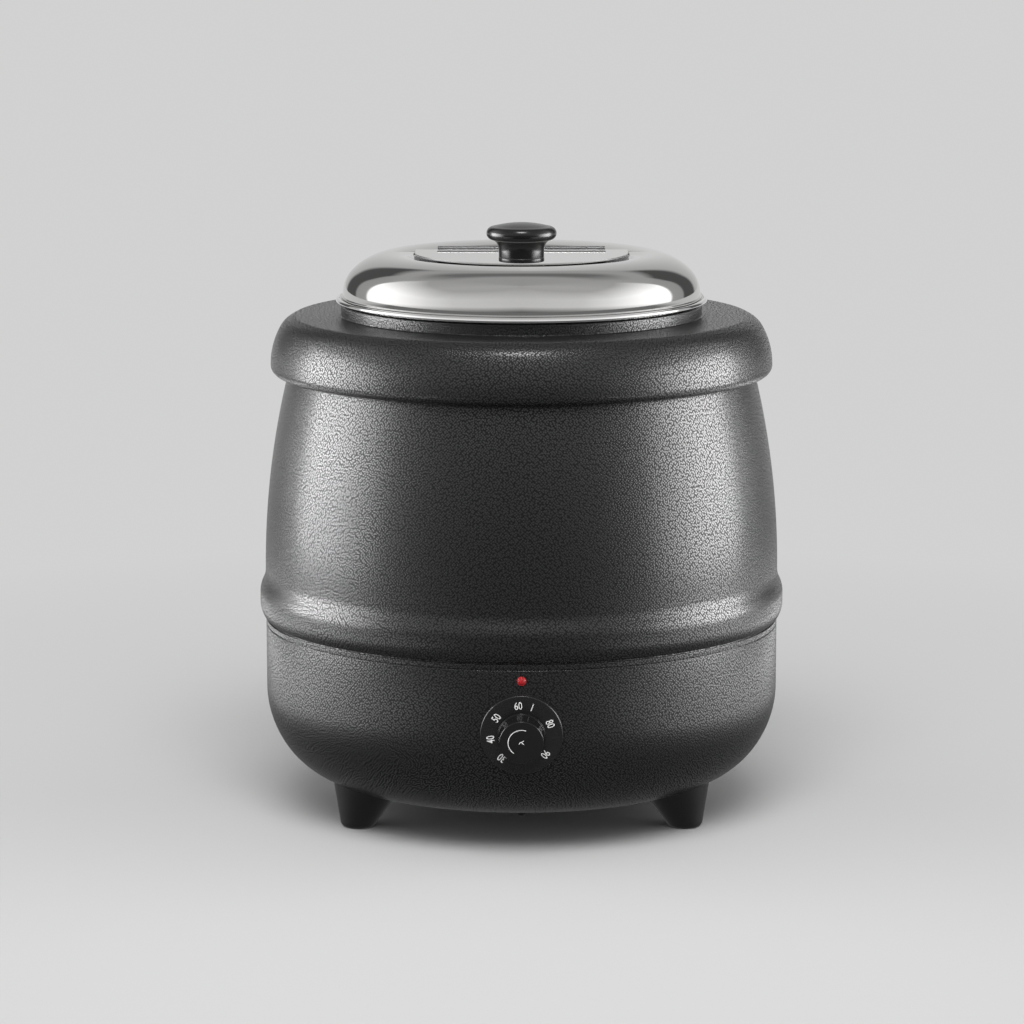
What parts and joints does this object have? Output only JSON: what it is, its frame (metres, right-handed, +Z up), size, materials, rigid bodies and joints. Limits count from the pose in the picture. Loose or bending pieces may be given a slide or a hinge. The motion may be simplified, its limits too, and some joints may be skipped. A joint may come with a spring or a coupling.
{
  "type": "soup kettle",
  "caption": "Round electric soup kettle: textured black drum on short feet, lift-out pot in a heated well, polished lid with a hinged half-round flap and knob, dial and lamp at the front.",
  "frame": {"origin": "on the floor under the middle of the body", "axes": "+Z up, the dial at the front faces -Y, +X to the right seen from the front"},
  "size_m": [0.3394, 0.3667, 0.3898],
  "materials": {
    "textured_black": "black textured enamel",
    "mirror_steel": "mirror polish",
    "satin_steel": "satin",
    "zinc_steel": "zinc plated",
    "gloss_black": "glossy",
    "dial_black": "satin",
    "lens_red": "translucent",
    "foot_black": "matt",
    "nylon_black": "matt",
    "switch_plastic": "moulded",
    "ceramic": "fired ceramic",
    "element_sheath": "heat stained",
    "aluminium_sheet": "mill finish",
    "copper": "bare",
    "lead_brown": "insulation",
    "lead_blue": "insulation",
    "lead_green": "insulation"
  },
  "bodies": {
    "kettle_body": {"barrel_shell": "textured_black", "base_pan": "textured_black", "bottom_plate": "zinc_steel", "bottom_plate_screws": "zinc_steel", "bulb_clips": "zinc_steel", "cable_gland": "nylon_black", "capillary_tube": "copper", "clamp_nuts": "zinc_steel", "clamp_studs": "zinc_steel", "collar_ring": "textured_black", "dial_plate": "dial_black", "earth_lead": "lead_green", "earth_nut": "zinc_steel", "earth_stud": "zinc_steel", "element_clamp_plate": "aluminium_sheet", "element_insulators": "ceramic", "element_lead": "lead_brown", "element_terminals": "zinc_steel", "foot_nuts": "zinc_steel", "foot_screws": "zinc_steel", "front_left_foot": "foot_black", "front_right_foot": "foot_black", "gland_nut": "nylon_black", "heat_shield": "aluminium_sheet", "heating_element": "element_sheath", "lamp_holder": "switch_plastic", "lamp_leads": "lead_brown", "lamp_lens": "lens_red", "lamp_push_nut": "zinc_steel", "live_lead": "lead_brown", "neutral_lead": "lead_blue", "rear_left_foot": "foot_black", "rear_right_foot": "foot_black", "sensor_bulb": "copper", "shield_nuts": "zinc_steel", "shield_spacers": "zinc_steel", "switched_lead": "lead_brown", "terminal_block": "switch_plastic", "terminal_block_screws": "zinc_steel", "thermal_cutout": "switch_plastic", "thermostat_body": "switch_plastic", "thermostat_nut": "zinc_steel", "tie_nuts": "zinc_steel", "tie_rods": "zinc_steel", "tie_washers": "zinc_steel", "water_well": "satin_steel"},
    "pot": {"inner_pot": "satin_steel"},
    "lid": {"lid_dome": "mirror_steel", "hinge_fixed_leaf": "satin_steel", "hinge_pin": "satin_steel", "fixed_leaf_rivets": "satin_steel"},
    "flap": {"lid_flap": "mirror_steel", "hinge_moving_leaf": "satin_steel", "moving_leaf_rivets": "satin_steel", "lid_knob": "gloss_black", "knob_ring": "gloss_black", "knob_screw": "zinc_steel"},
    "dial": {"dial_knob": "dial_black", "dial_shaft": "zinc_steel"}
  },
  "joints": [
    {"name": "pot_lift", "type": "slide", "parent": "kettle_body", "child": "pot", "axis": [0, 0, 1], "range_m": [0, 0.26]},
    {"name": "lid_lift", "type": "slide", "parent": "pot", "child": "lid", "axis": [0, 0, 1], "range_m": [0, 0.12]},
    {"name": "flap_hinge", "type": "hinge", "parent": "lid", "child": "flap", "pos_m": [0, 0.009, 0.3661], "axis": [-1, 0, 0], "range_deg": [0, 110]},
    {"name": "dial_turn", "type": "hinge", "parent": "kettle_body", "child": "dial", "pos_m": [0, -0.166, 0.0851], "axis": [0, -0.9925, -0.1219], "range_deg": [-135, 135]}
  ]
}
